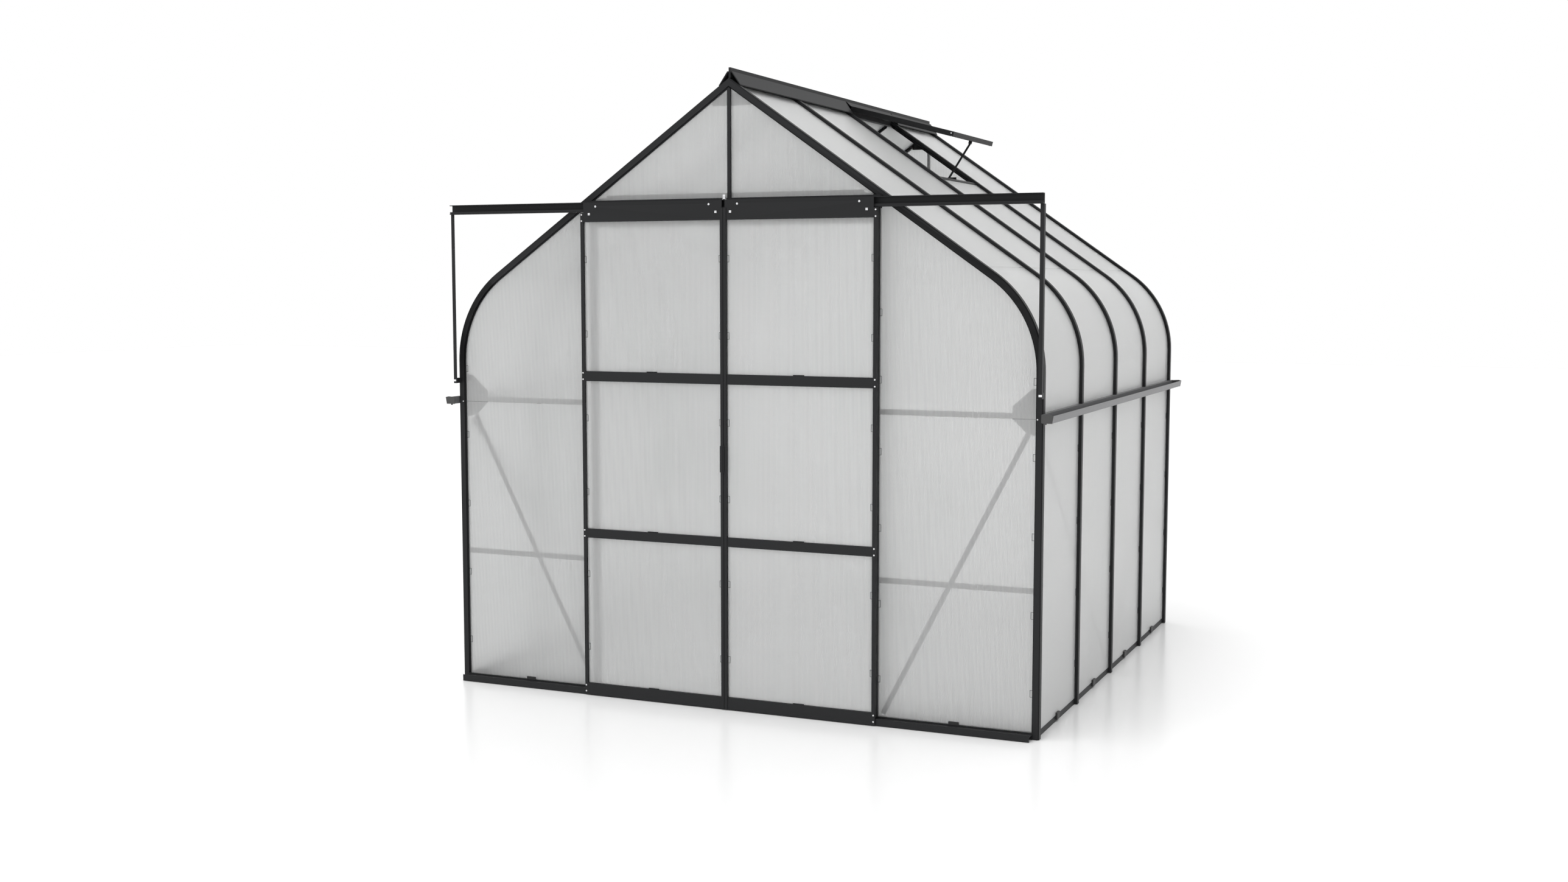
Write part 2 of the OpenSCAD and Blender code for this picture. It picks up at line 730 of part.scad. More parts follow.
front_sills();
door_threshold();
side_sill_left();
side_sill_right();
rear_sill();
front_post_left();
front_post_right();
rear_posts();
wall_bars_left();
wall_bars_right();
front_gable_bar_left();
front_gable_bar_right();
rear_gable_bars();
roof_bars_left();
roof_bars_right();
ridge_beam();
vent_hinge_rail();
vent_crossbar();
gutter_left();
gutter_right();
gutter_end_caps();
door_jambs();
door_header();
gable_mullion();
rear_mullions();
rear_girts();
front_girts();
front_braces();
side_braces();
gusset_plates();
door_track();
track_legs();
wall_panes();
eave_panes_left();
eave_panes_right();
roof_panes();
front_panes();
rear_panes();
frame_bolts();
left_door_stiles();
left_door_top_rail();
left_door_rails();
left_door_panes();
left_door_handle();
left_door_fixings();
left_door_guides();
left_inner_roller();
left_outer_roller();
right_door_stiles();
right_door_top_rail();
right_door_rails();
right_door_panes();
right_door_handle();
right_door_fixings();
right_door_guides();
right_inner_roller();
right_outer_roller();
vent_frame();
vent_pane();
vent_stay();
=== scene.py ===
"""Looks of the curved-eaves greenhouse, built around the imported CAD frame. Metres, row frame."""

import json
import math

import bmesh
import bpy
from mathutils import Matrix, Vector


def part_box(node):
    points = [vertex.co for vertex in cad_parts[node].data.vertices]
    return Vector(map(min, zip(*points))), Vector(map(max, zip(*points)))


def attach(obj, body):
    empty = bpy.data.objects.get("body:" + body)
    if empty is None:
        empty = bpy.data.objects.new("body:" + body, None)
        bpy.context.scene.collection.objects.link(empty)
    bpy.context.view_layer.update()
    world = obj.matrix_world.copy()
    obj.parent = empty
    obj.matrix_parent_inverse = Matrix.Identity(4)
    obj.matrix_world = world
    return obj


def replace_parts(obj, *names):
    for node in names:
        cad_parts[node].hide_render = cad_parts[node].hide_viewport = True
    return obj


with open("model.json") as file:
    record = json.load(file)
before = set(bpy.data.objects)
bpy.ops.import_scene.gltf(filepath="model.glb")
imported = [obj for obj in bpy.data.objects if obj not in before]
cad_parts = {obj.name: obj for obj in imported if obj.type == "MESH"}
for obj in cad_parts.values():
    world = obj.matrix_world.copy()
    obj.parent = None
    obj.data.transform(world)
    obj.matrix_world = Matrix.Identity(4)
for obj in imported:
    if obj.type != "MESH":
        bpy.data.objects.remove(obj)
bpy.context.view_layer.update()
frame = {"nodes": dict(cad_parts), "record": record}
nodes = frame["nodes"]


# ---------- places worked out from the frame ----------

MM = 0.001
post_lo, post_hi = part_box("front_post_right")
HALF_W = post_hi.x
FRONT = post_lo.y
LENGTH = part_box("rear_posts")[1].y - FRONT
POST_W = 25 * MM
POST_D = post_hi.y - post_lo.y
BAYS = 4
BAY = LENGTH / BAYS
PITCH = math.radians(35)
BEND_R = 0.450
CORNER_Z = 1.608
APEX_Z = CORNER_Z + HALF_W * math.tan(PITCH)
BEND_X = HALF_W - BEND_R
BEND_Z = CORNER_Z - BEND_R * math.tan((math.pi / 2 - PITCH) / 2)
GUTTER_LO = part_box("gutter_right")[0]
GUTTER_TOP = 1.223
PANE_OUT = 13 * MM
PANE_IN = 17 * MM
SEAM_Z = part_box("roof_panes")[0].z
POST_SEAM = post_hi.z
SILL_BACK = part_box("wall_panes")[0].z
GABLE_Y = 11 * MM
JAMB_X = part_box("door_jambs")[1].x
HEADER_TOP = 2.035
REAR = FRONT + LENGTH

# ---------- materials ----------

def material(name):
    mat = bpy.data.materials.new(name)
    mat.use_nodes = True
    tree = mat.node_tree
    tree.nodes.clear()
    out = tree.nodes.new("ShaderNodeOutputMaterial")
    return mat, tree, out


def place(tree, scale=(1, 1, 1)):
    """Object coordinates, stretched by scale. CAD nodes sit at the origin, so they are the row frame."""
    coord = tree.nodes.new("ShaderNodeTexCoord")
    mapping = tree.nodes.new("ShaderNodeMapping")
    mapping.inputs["Scale"].default_value = scale
    tree.links.new(coord.outputs["Object"], mapping.inputs["Vector"])
    return mapping.outputs["Vector"]


def noise(tree, vector, scale, detail=3.0, rough=0.55):
    node = tree.nodes.new("ShaderNodeTexNoise")
    node.inputs["Scale"].default_value = scale
    node.inputs["Detail"].default_value = detail
    node.inputs["Roughness"].default_value = rough
    tree.links.new(vector, node.inputs["Vector"])
    return node.outputs["Fac"]


def ramp(tree, fac, stops):
    """Colour ramp; each stop is (position, (r, g, b)) or (position, grey)."""
    node = tree.nodes.new("ShaderNodeValToRGB")
    elements = node.color_ramp.elements
    while len(elements) < len(stops):
        elements.new(0.5)
    for element, (position, colour) in zip(elements, stops):
        element.position = position
        rgb = colour if isinstance(colour, tuple) else (colour,) * 3
        element.color = (*rgb, 1)
    tree.links.new(fac, node.inputs["Fac"])
    return node.outputs["Color"]


def blend_colours(tree, fac, a, b):
    node = tree.nodes.new("ShaderNodeMix")
    node.data_type = "RGBA"
    tree.links.new(fac, node.inputs[0])
    tree.links.new(a, node.inputs[6])
    tree.links.new(b, node.inputs[7])
    return node.outputs[2]


def bump(tree, height, strength, distance):
    node = tree.nodes.new("ShaderNodeBump")
    node.inputs["Strength"].default_value = strength
    node.inputs["Distance"].default_value = distance
    tree.links.new(height, node.inputs["Height"])
    return node.outputs["Normal"]


def edges(tree, lo=0.52, hi=0.62):
    """1 along convex edges, 0 elsewhere."""
    geometry = tree.nodes.new("ShaderNodeNewGeometry")
    return ramp(tree, geometry.outputs["Pointiness"], [(lo, 0.0), (hi, 1.0)])


def coated(name, dark, light, edge_highlight, rough, metallic=0.0, grain=900.0, bumpiness=0.25, gloss=0.5):
    """Painted or moulded surface: cloudy colour, fine orange-peel bump, and convex edges lightened as a
    painted highlight.
    """
    mat, tree, out = material(name)
    shader = tree.nodes.new("ShaderNodeBsdfPrincipled")
    where = place(tree)
    cloud = noise(tree, where, 6.0, 4.0)
    base = ramp(tree, cloud, [(0.3, dark), (0.7, light)])
    # convex edges are mixed towards a lighter colour: a painted highlight for the light that rounded edges
    # catch
    painted_edge_highlight = tree.nodes.new("ShaderNodeRGB")
    painted_edge_highlight.outputs[0].default_value = (*edge_highlight, 1)
    colour = blend_colours(tree, edges(tree), base, painted_edge_highlight.outputs[0])
    tree.links.new(colour, shader.inputs["Base Color"])
    fine = noise(tree, where, grain, 2.0)
    tree.links.new(ramp(tree, fine, [(0.3, rough[0]), (0.7, rough[1])]), shader.inputs["Roughness"])
    tree.links.new(bump(tree, fine, bumpiness, 0.0002), shader.inputs["Normal"])
    shader.inputs["Metallic"].default_value = metallic
    shader.inputs["Specular IOR Level"].default_value = gloss
    tree.links.new(shader.outputs[0], out.inputs["Surface"])
    return mat


def twinwall(name, tint_dark, tint_light, cell, rib_share):
    """Twin-wall sheet: its ripples and rough faces scatter what it lets through, mostly sideways, with
    clearer cells between denser ribs. The rib attribute is 1 along each rib and 0 mid-cell."""
    mat, tree, out = material(name)
    streak = noise(tree, place(tree, (1, 1, 0.02)), 150.0, 2.0, 0.6)
    cloud = noise(tree, place(tree), 2.2, 3.0)
    mixed = tree.nodes.new("ShaderNodeMath")
    mixed.operation = "ADD"
    tree.links.new(streak, mixed.inputs[0])
    tree.links.new(cloud, mixed.inputs[1])
    rib = tree.nodes.new("ShaderNodeAttribute")
    rib.attribute_name = "rib"
    shader = tree.nodes.new("ShaderNodeBsdfPrincipled")
    sheet = ramp(tree, mixed.outputs[0], [(0.7, tint_dark), (1.0, tint_light)])
    dense = tree.nodes.new("ShaderNodeRGB")
    dense.outputs[0].default_value = (*[0.68 * v for v in tint_dark], 1)
    line = ramp(tree, rib.outputs["Fac"], [(0.45, 0.0), (1.0, 1.0)])
    tree.links.new(blend_colours(tree, line, sheet, dense.outputs[0]), shader.inputs["Base Color"])
    tree.links.new(ramp(tree, cloud, [(0.3, 0.31), (0.7, 0.36)]), shader.inputs["Roughness"])
    tree.links.new(ramp(tree, rib.outputs["Fac"], [(0.4, cell), (1.0, rib_share)]),
                   shader.inputs["Transmission Weight"])
    shader.inputs["IOR"].default_value = 1.42
    tree.links.new(shader.outputs[0], out.inputs["Surface"])
    return mat


# the third colour of each coated material is its painted edge highlight
FRAME_BLACK = coated("frame_black", (0.006, 0.0062, 0.0065), (0.010, 0.0102, 0.0108),
                     (0.022, 0.0225, 0.0235), (0.42, 0.52), gloss=0.12)
TRIM_GREY = coated("trim_grey", (0.058, 0.059, 0.060), (0.074, 0.075, 0.077),
                   (0.14, 0.14, 0.145), (0.36, 0.46), gloss=0.35)
ZINC = coated("zinc", (0.62, 0.63, 0.65), (0.75, 0.76, 0.78),
              (0.85, 0.85, 0.86), (0.22, 0.34), metallic=0.6, bumpiness=0.1)
NYLON = coated("black_nylon", (0.014, 0.014, 0.015), (0.022, 0.022, 0.023),
               (0.05, 0.05, 0.05), (0.5, 0.62), grain=500.0)
SHEET = twinwall("twinwall_sheet", (0.93, 0.94, 0.935), (0.985, 0.989, 0.987), 0.76, 0.52)
MATERIALS = {"frame_black": FRAME_BLACK, "trim_grey": TRIM_GREY, "zinc": ZINC,
             "black_nylon": NYLON, "twinwall_sheet": SHEET}

for part in frame["record"]["subparts"]:
    cad = nodes[part["node"]]
    cad.data.materials.clear()
    cad.data.materials.append(MATERIALS[part["material_slot"]])


# ---------- making pieces ----------

SHARP = math.radians(40)


def finish_piece(name, bm, mat_slot, body, smooth=False):
    bmesh.ops.recalc_face_normals(bm, faces=bm.faces)
    for face in bm.faces:
        face.smooth = smooth
    for edge in bm.edges:
        if smooth and len(edge.link_faces) == 2 and edge.calc_face_angle() > SHARP:
            edge.smooth = False
    mesh = bpy.data.meshes.new(name)
    bm.to_mesh(mesh)
    bm.free()
    obj = bpy.data.objects.new(name, mesh)
    bpy.context.scene.collection.objects.link(obj)
    obj.data.materials.append(MATERIALS[mat_slot])
    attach(obj, body)
    return obj


def mirrored(points, side):
    return [Vector((side * p[0], p[1], p[2])) for p in points]


# ---------- twin-wall sheets ----------

FLUTE = 5.3 * MM
RIPPLE = 0.16 * MM


def columns(a, b):
    """Positions across a sheet from a to b with their height shares: 0 over a cell's middle, 1 on a rib,
    0.5 on the slopes between."""
    count = max(1, round((b - a) / FLUTE))
    step = (b - a) / count
    found = []
    for i in range(count):
        left = a + i * step
        found += [(left, 1.0), (left + step / 4, 0.5), (left + step / 2, 0.0), (left + step * 3 / 4, 0.5)]
    return found + [(b, 1.0)]


def fluted(bm, a, b, outer, inner):
    """One closed sheet. outer(u, h) and inner(u, h) give its faces' points along the flute at u,
    raised by h."""
    rib = bm.verts.layers.float.get("rib") or bm.verts.layers.float.new("rib")
    rows = []
    for u, share in columns(a, b):
        pair = []
        for face in (outer, inner):
            line = [bm.verts.new(p) for p in face(u, (share - 1) * RIPPLE)]
            for v in line:
                v[rib] = share
            pair.append(line)
        rows.append(pair)
    for (o0, i0), (o1, i1) in zip(rows, rows[1:]):
        for k in range(len(o0) - 1):
            bm.faces.new((o0[k], o1[k], o1[k + 1], o0[k + 1]))
            bm.faces.new((i0[k], i0[k + 1], i1[k + 1], i1[k]))
        bm.faces.new((o0[0], i0[0], i1[0], o1[0]))
        bm.faces.new((o0[-1], o1[-1], i1[-1], i0[-1]))
    for o, i in (rows[0], rows[-1]):
        for k in range(len(o) - 1):
            bm.faces.new((o[k], o[k + 1], i[k + 1], i[k]))


def roof_at_x(x, depth):
    return x, APEX_Z - depth / math.cos(PITCH) - x * math.tan(PITCH)


def roof_at_z(z, depth):
    return (APEX_Z - depth / math.cos(PITCH) - z) / math.tan(PITCH), z


ARC_STEPS = 12


def eave_line(depth):
    """The curved pane's line in X and Z from above the gutter, round the bend, to the seam."""
    r = BEND_R - depth
    turn = math.pi / 2 - PITCH
    line = [(HALF_W - depth, GUTTER_TOP)]
    for k in range(ARC_STEPS + 1):
        a = turn * k / ARC_STEPS
        line.append((BEND_X + r * math.cos(a), BEND_Z + r * math.sin(a)))
    line.append(roof_at_z(SEAM_Z - MM, depth))
    return line


def gable_top(x, depth):
    """Height of the gable outline at x, drawn in by depth."""
    x = abs(x)
    r = BEND_R - depth
    if x < BEND_X + r * math.sin(PITCH):
        return roof_at_x(x, depth)[1]
    return BEND_Z + math.sqrt(max(r * r - (x - BEND_X) ** 2, 0.0))


def bays():
    edge = 8 * MM
    for i in range(BAYS):
        y0 = FRONT + (POST_D + 0.5 * MM if i == 0 else i * BAY + edge)
        y1 = FRONT + (LENGTH - POST_D - 0.5 * MM if i == BAYS - 1 else (i + 1) * BAY - edge)
        yield i, y0, y1


def along_y_sheet(bm, side, y0, y1, line):
    """A sheet between y0 and y1 whose flutes follow line(depth) in X and Z."""
    def face(depth, up):
        return lambda u, h: mirrored([(x, u, z) for x, z in line(depth - up * h)], side)
    fluted(bm, y0, y1, face(PANE_OUT, 1), face(PANE_IN, -1))


def wall_sheets():
    bm = bmesh.new()
    line = lambda depth: [(HALF_W - depth, SILL_BACK), (HALF_W - depth, GUTTER_LO.z + 1 * MM)]
    for side in (-1, 1):
        for _, y0, y1 in bays():
            along_y_sheet(bm, side, y0, y1, line)
    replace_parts(finish_piece("wall_sheets", bm, "twinwall_sheet", "root", True), "wall_panes")


def eave_sheets():
    for word, side in (("left", -1), ("right", 1)):
        bm = bmesh.new()
        for _, y0, y1 in bays():
            along_y_sheet(bm, side, y0, y1, eave_line)
        piece = finish_piece(f"eave_sheets_{word}", bm, "twinwall_sheet", "root", True)
        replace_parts(piece, f"eave_panes_{word}")


VENT_BAY = 2
CROSSBAR_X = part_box("vent_crossbar")[1].x


def roof_sheets():
    bm = bmesh.new()
    for side in (-1, 1):
        for i, y0, y1 in bays():
            top_x = CROSSBAR_X + 0.5 * MM if side > 0 and i == VENT_BAY else 15 * MM
            line = lambda depth: [roof_at_z(SEAM_Z, depth), roof_at_x(top_x, depth)]
            along_y_sheet(bm, side, y0, y1, line)
    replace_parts(finish_piece("roof_sheets", bm, "twinwall_sheet", "root", True), "roof_panes")


PANE_T = 4 * MM


def flat_sheet(bm, x0, x1, y_out, y_in, z0, top):
    """An upright sheet across X; top(x) is its upper edge. y_out is the face away from the room."""
    up = 1 if y_in > y_out else -1
    outer = lambda u, h: [Vector((u, y_out - up * h, z0)), Vector((u, y_out - up * h, top(u)))]
    inner = lambda u, h: [Vector((u, y_in + up * h, z0)), Vector((u, y_in + up * h, top(u)))]
    fluted(bm, x0, x1, outer, inner)


EDGE = HALF_W - POST_W - 1 * MM


def under_roof(z1=None):
    line = lambda x: gable_top(x, POST_W + 1 * MM)
    return line if z1 is None else lambda x: min(z1, line(x))


def gable_sheets(name, cad, y_out, y_in, panels):
    bm = bmesh.new()
    for side in (-1, 1):
        for x0, x1, z0, z1 in panels:
            lo, hi = sorted((side * x0, side * x1))
            flat_sheet(bm, lo, hi, y_out, y_in, z0, under_roof(z1))
    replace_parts(finish_piece(name, bm, "twinwall_sheet", "root", True), cad)


def roof_x(z):
    """Where the gable panes' edge stands at height z on the straight slope."""
    return roof_at_z(z, POST_W + 1 * MM)[0]


UPPER_SEAM = 1.793
FRONT_PANELS = [
    (JAMB_X + MM, EDGE, SILL_BACK, POST_SEAM - 6 * MM),
    (JAMB_X + MM, EDGE, POST_SEAM - 5 * MM, None),
    (MM, roof_x(HEADER_TOP + 2 * MM), HEADER_TOP + MM, None),
]
REAR_PANELS = [
    (JAMB_X + MM, EDGE, SILL_BACK, POST_SEAM - 6 * MM),
    (JAMB_X + MM, EDGE, POST_SEAM - 5 * MM, None),
    (MM, JAMB_X - MM, SILL_BACK, POST_SEAM - 6 * MM),
    (MM, JAMB_X - MM, POST_SEAM - 5 * MM, UPPER_SEAM - MM),
    (MM, JAMB_X - MM, UPPER_SEAM, None),
]


# lower and upper edges of a door's three panes
DOOR_PANES = ((0.052, 0.660), (0.697, 1.305), (1.345, 1.949))


def door_sheets():
    for word in ("left", "right"):
        bm = bmesh.new()
        node = f"{word}_door_panes"
        lo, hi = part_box(node)
        for z0, z1 in DOOR_PANES:
            top = lambda x, z=z1: z - 0.5 * MM
            flat_sheet(bm, lo.x, hi.x, lo.y, hi.y, z0 + 0.5 * MM, top)
        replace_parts(finish_piece(f"{word}_door_sheets", bm, "twinwall_sheet", f"{word}_door", True), node)


HINGE = Vector((33 * MM, 0, APEX_Z - 2.8 * MM))
VENT_SLOPE = math.radians(15)
VENT_L = 0.510
VENT_DOWN = Vector((math.cos(VENT_SLOPE), 0, -math.sin(VENT_SLOPE)))
VENT_NORMAL = Vector((math.sin(VENT_SLOPE), 0, math.cos(VENT_SLOPE)))


def vent_sheet():
    """The vent's pane lies in its CAD box, turned to the vent's slope."""
    corners = [v.co.copy() for v in nodes["vent_pane"].data.vertices]
    top = max(corners, key=lambda c: c.z - c.x * 0.01)
    low = min(corners, key=lambda c: c.z + c.x * 0.01)
    y0 = min(c.y for c in corners)
    y1 = max(c.y for c in corners)
    start = Vector((top.x, 0, top.z))
    reach = (low - top).dot(VENT_DOWN)
    bm = bmesh.new()

    def face(offset, up):
        def points(u, h):
            base = Vector((start.x, u, start.z)) + VENT_NORMAL * (offset + up * h)
            return [base, base + VENT_DOWN * reach]
        return points
    fluted(bm, y0, y1, face(0.0, 1), face(-PANE_T, -1))
    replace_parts(finish_piece("vent_sheet", bm, "twinwall_sheet", "roof_vent", True), "vent_pane")


wall_sheets()
eave_sheets()
roof_sheets()
gable_sheets("front_gable_sheets", "front_panes", FRONT + GABLE_Y, FRONT + GABLE_Y + PANE_T, FRONT_PANELS)
gable_sheets("rear_gable_sheets", "rear_panes", REAR - GABLE_Y, REAR - GABLE_Y - PANE_T, REAR_PANELS)
door_sheets()
vent_sheet()

# ---------- fittings ----------

def block(bm, lo, hi, soften=0.6 * MM):
    """A block with softened edges between two corners."""
    lo, hi = Vector(map(min, lo, hi)), Vector(map(max, lo, hi))
    made = bmesh.ops.create_cube(bm, size=1.0)["verts"]
    for v in made:
        v.co = Vector((lo[k] + (v.co[k] + 0.5) * (hi[k] - lo[k]) for k in range(3)))
    found = list({e for v in made for e in v.link_edges})
    bmesh.ops.bevel(bm, geom=found, offset=soften, segments=2, affect="EDGES", profile=0.6)


def turned(bm, centre, axis, profile, steps=20):
    """A turned solid round axis through centre; profile holds (distance along the axis, radius)."""
    axis = Vector(axis).normalized()
    side = axis.orthogonal().normalized()
    up = axis.cross(side)
    rings = []
    for along, r in profile:
        ring = []
        for k in range(steps):
            a = 2 * math.pi * k / steps
            spoke = side * math.cos(a) + up * math.sin(a)
            ring.append(bm.verts.new(Vector(centre) + axis * along + spoke * r))
        rings.append(ring)
    for r0, r1 in zip(rings, rings[1:]):
        for k in range(steps):
            n = (k + 1) % steps
            bm.faces.new((r0[k], r0[n], r1[n], r1[k]))
    bm.faces.new(rings[0])
    bm.faces.new(rings[-1])


def tube(bm, points, r, sides=6):
    """A bent wire through points, closed at both ends."""
    points = [Vector(p) for p in points]
    rings = []
    for i, p in enumerate(points):
        before = (p - points[i - 1]).normalized() if i else None
        after = (points[i + 1] - p).normalized() if i + 1 < len(points) else None
        along = ((before or after) + (after or before)).normalized()
        if i == 0:
            side = along.orthogonal().normalized()
        side = (side - along * side.dot(along)).normalized()
        up = along.cross(side)
        widen = 1 / max(0.5, along.dot(after or before))
        ring = []
        for k in range(sides):
            a = 2 * math.pi * k / sides
            ring.append(bm.verts.new(p + (side * math.cos(a) + up * math.sin(a)) * r * widen))
        rings.append(ring)
    for r0, r1 in zip(rings, rings[1:]):
        for k in range(sides):
            n = (k + 1) % sides
            bm.faces.new((r0[k], r0[n], r1[n], r1[k]))
    bm.faces.new(rings[0])
    bm.faces.new(rings[-1])


def dome(r, height):
    """Profile of a flanged round bolt head."""
    return [(0.0, r), (height * 0.35, r), (height * 0.7, r * 0.8), (height, r * 0.45), (height, 0.2 * MM)]


DOOR_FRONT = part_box("right_door_top_rail")[0].y
STILE_IN = 13 * MM
STILE_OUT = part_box("right_door_stiles")[1].x - 14 * MM
DOOR_MID = (STILE_IN + STILE_OUT) / 2
RAIL_TOPS = tuple(z0 for z0, _ in DOOR_PANES)
TOP_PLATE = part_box("right_door_top_rail")[0].z
ROLLER_LO, ROLLER_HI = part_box("right_inner_roller")
OUTER_LO, OUTER_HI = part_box("right_outer_roller")
BOLT_X = ((ROLLER_LO.x + ROLLER_HI.x) / 2, (OUTER_LO.x + OUTER_HI.x) / 2)
AXLE_Z = (ROLLER_LO.z + ROLLER_HI.z) / 2
SQUARE_X = (BOLT_X[0] - 30 * MM, BOLT_X[1] + 30 * MM)
SQUARE_Z = AXLE_Z - 30 * MM


def door_tabs(word, side):
    """Small lugs at the middle of each rail that hold the panes."""
    bm = bmesh.new()
    x0, x1 = side * (DOOR_MID - 23 * MM), side * (DOOR_MID + 23 * MM)
    for z in RAIL_TOPS:
        block(bm, (x0, DOOR_FRONT + 0.5 * MM, z - 1 * MM), (x1, DOOR_FRONT + 5 * MM, z + 4 * MM))
    finish_piece(f"{word}_door_pane_lugs", bm, "frame_black", f"{word}_door")


def door_bolt_heads(word, side):
    """Domes on the round bolts, and the four lands of each square head."""
    bm = bmesh.new()
    face = DOOR_FRONT - 3 * MM
    for x in BOLT_X:
        turned(bm, (side * x, face, AXLE_Z), (0, -1, 0), dome(3.6 * MM, 1.4 * MM))
    for x in SQUARE_X:
        for dx in (-1, 1):
            for dz in (-1, 1):
                cx, cz = side * x + dx * 2.2 * MM, SQUARE_Z + dz * 2.2 * MM
                block(bm, (cx - 1.8 * MM, face - 1 * MM, cz - 1.8 * MM),
                      (cx + 1.8 * MM, face + 0.5 * MM, cz + 1.8 * MM), 0.3 * MM)
    finish_piece(f"{word}_door_bolt_heads", bm, "zinc", f"{word}_door")


WIRE = 0.6 * MM
CLIP_REACH = 9 * MM
CLIP_HALF = 13 * MM


def clip_x(bm, edge, way, y, z):
    """A wire clip lying on a pane that faces along Y: its loop reaches from edge by way."""
    inner = edge + way * CLIP_REACH
    tube(bm, [(edge, y, z - CLIP_HALF), (inner, y, z - CLIP_HALF), (inner, y, z + CLIP_HALF),
              (edge, y, z + CLIP_HALF)], WIRE)


def clip_y(bm, x, edge, way, z):
    inner = edge + way * CLIP_REACH
    tube(bm, [(x, edge, z - CLIP_HALF), (x, inner, z - CLIP_HALF), (x, inner, z + CLIP_HALF),
              (x, edge, z + CLIP_HALF)], WIRE)


def levels(z0, z1, count):
    """count heights spread evenly between z0 and z1."""
    return [z0 + (z1 - z0) * (k + 0.5) / count for k in range(count)]


def door_clips(word, side):
    bm = bmesh.new()
    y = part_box(f"{word}_door_panes")[0].y - WIRE
    spans = (*DOOR_PANES[:2], (RAIL_TOPS[2], TOP_PLATE))
    for z0, z1 in spans:
        for z in levels(z0, z1, 2):
            clip_x(bm, side * STILE_IN, side, y, z)
            clip_x(bm, side * STILE_OUT, -side, y, z)
    finish_piece(f"{word}_door_glazing_clips", bm, "frame_black", f"{word}_door", True)


def gable_clips(name, y, inner_edges):
    bm = bmesh.new()
    lip = HALF_W - POST_W - 5 * MM
    for side in (-1, 1):
        for z in levels(SILL_BACK, POST_SEAM, 4) + levels(POST_SEAM, BEND_Z + 0.1, 1):
            clip_x(bm, side * lip, -side, y, z)
        for x, way in inner_edges:
            for z in levels(SILL_BACK, POST_SEAM, 4) + levels(POST_SEAM, 1.72, 2):
                clip_x(bm, side * x, side * way, y, z)
    finish_piece(name, bm, "frame_black", "root", True)


def wall_clips():
    bm = bmesh.new()
    for side in (-1, 1):
        x = side * (HALF_W - PANE_OUT + WIRE)
        for i in range(BAYS):
            y0 = FRONT + (POST_D if i == 0 else i * BAY + 12.5 * MM)
            y1 = FRONT + (LENGTH - POST_D if i == BAYS - 1 else (i + 1) * BAY - 12.5 * MM)
            for z in levels(SILL_BACK, GUTTER_LO.z, 4):
                clip_y(bm, x, y0, 1, z)
                clip_y(bm, x, y1, -1, z)
    finish_piece("wall_glazing_clips", bm, "frame_black", "root", True)


def sill_clips():
    """Moulded clips that hold the panes' lower edges, one at the middle of each bay."""
    bm = bmesh.new()
    x = (JAMB_X + EDGE) / 2
    half = 20 * MM
    for side in (-1, 1):
        for y0, y1 in ((FRONT + 3 * MM, FRONT + 10.5 * MM), (REAR - 3 * MM, REAR - 10.5 * MM)):
            block(bm, (side * x - half, y0, SILL_BACK - 1 * MM), (side * x + half, y1, SILL_BACK + 11 * MM))
        for _, y0, y1 in bays():
            mid = (y0 + y1) / 2
            block(bm, (side * (HALF_W - PANE_OUT + 0.2 * MM), mid - half, 8 * MM),
                  (side * (HALF_W - 5 * MM), mid + half, SILL_BACK + 11 * MM))
    finish_piece("sill_clips", bm, "black_nylon", "root")


def centre_stop():
    """Bright bracket at the middle of the track, over the place where the doors meet."""
    bm = bmesh.new()
    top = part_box("door_track")[1].z
    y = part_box("door_track")[0].y
    block(bm, (-5 * MM, y + 1 * MM, top), (5 * MM, y + 3 * MM, top + 19 * MM), 0.4 * MM)
    block(bm, (-8 * MM, y + 1 * MM, top), (8 * MM, y + 14 * MM, top + 2 * MM), 0.4 * MM)
    turned(bm, (0, y + 1 * MM, top + 12 * MM), (0, -1, 0), dome(3.6 * MM, 1.6 * MM))
    finish_piece("centre_stop", bm, "zinc", "root")


def on_vent(u, y, v):
    """The place u down the vent's slope from its hinge and v above it, at y."""
    return HINGE + VENT_DOWN * u + VENT_NORMAL * v + Vector((0, y, 0))


def vent_fittings():
    """Bright ends on the vent's lower rail: a bolt and a pin at its corners, and a nub below each."""
    bm = bmesh.new()
    lo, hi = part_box("vent_frame")
    turned(bm, on_vent(VENT_L - 12 * MM, lo.y + 0.5 * MM, -2 * MM), (0, -1, 0), dome(3.2 * MM, 2.5 * MM))
    turned(bm, on_vent(VENT_L - 8 * MM, hi.y - 0.5 * MM, -4 * MM), (0, 1, 0), dome(2.6 * MM, 9 * MM))
    for y in (lo.y + 10 * MM, hi.y - 10 * MM):
        turned(bm, on_vent(VENT_L - 10 * MM, y, -13.5 * MM), -VENT_NORMAL, dome(3 * MM, 2 * MM))
    finish_piece("vent_pin_ends", bm, "zinc", "roof_vent")


def ridge_bolts():
    """Bolts that hold the ridge to the roof bars, one on each slope at every bar."""
    bm = bmesh.new()
    beam_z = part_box("ridge_beam")[0].z
    for k in range(1, BAYS):
        y = FRONT + k * BAY
        for side in (-1, 1):
            turned(bm, (side * 13 * MM, y + 16 * MM, beam_z + 12 * MM), (side, 0, 0),
                   dome(3.6 * MM, 2.2 * MM))
    finish_piece("ridge_bolts", bm, "zinc", "root")


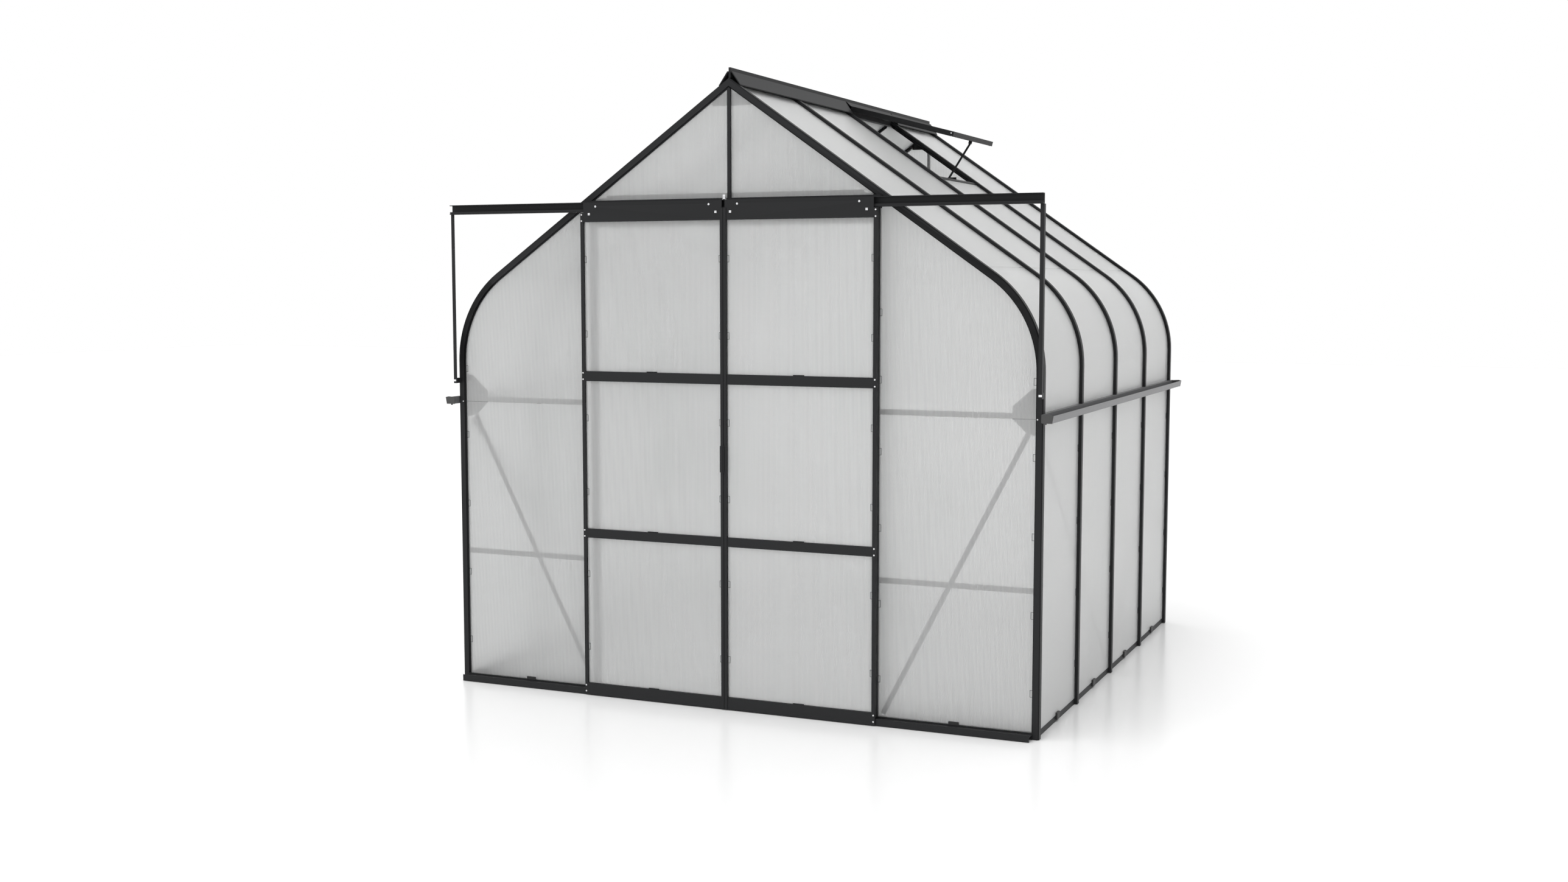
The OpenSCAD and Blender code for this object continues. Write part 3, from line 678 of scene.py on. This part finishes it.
for word, side in (("left", -1), ("right", 1)):
    door_tabs(word, side)
    door_bolt_heads(word, side)
    door_clips(word, side)
gable_clips("front_glazing_clips", FRONT + GABLE_Y - WIRE, [(JAMB_X, 1)])
gable_clips("rear_glazing_clips", REAR - GABLE_Y + WIRE, [(JAMB_X + 7 * MM, 1), (JAMB_X - 7 * MM, -1)])
wall_clips()
sill_clips()
centre_stop()
vent_fittings()
ridge_bolts()

# ---------- floor, light and camera ----------

FLOOR_SIZE = 60.0
bm = bmesh.new()
bmesh.ops.create_grid(bm, x_segments=1, y_segments=1, size=FLOOR_SIZE / 2)
floor_mesh = bpy.data.meshes.new("floor")
bm.to_mesh(floor_mesh)
bm.free()
floor = bpy.data.objects.new("floor", floor_mesh)
bpy.context.scene.collection.objects.link(floor)
floor.location.z = -1 * MM
floor_mat, tree, out = material("studio_floor")
shader = tree.nodes.new("ShaderNodeBsdfPrincipled")
shader.inputs["Base Color"].default_value = (0.9, 0.9, 0.9, 1)
shader.inputs["Roughness"].default_value = 0.22
shader.inputs["Specular IOR Level"].default_value = 0.3
tree.links.new(shader.outputs[0], out.inputs["Surface"])
floor.data.materials.append(floor_mat)

world = bpy.data.worlds.new("studio")
bpy.context.scene.world = world
world.use_nodes = True
background = world.node_tree.nodes["Background"]
background.inputs["Color"].default_value = (1, 1, 1, 1)
background.inputs["Strength"].default_value = 1.0

sun_data = bpy.data.lights.new("overhead", "SUN")
sun_data.energy = 1.2
sun_data.angle = math.radians(50)
sun = bpy.data.objects.new("overhead", sun_data)
sun.rotation_euler = (math.radians(16), math.radians(-12), 0)
bpy.context.scene.collection.objects.link(sun)

camera_data = bpy.data.cameras.new("camera")
camera_data.sensor_width = 36
camera_data.lens = 38.997
camera = bpy.data.objects.new("camera", camera_data)
camera.location = (2.8868, -7.2868, 1.6987)
camera.rotation_euler = (math.radians(90 - 5.2765), 0, math.radians(23.548))
bpy.context.scene.collection.objects.link(camera)
bpy.context.scene.camera = camera
bpy.context.scene.view_settings.view_transform = "Standard"
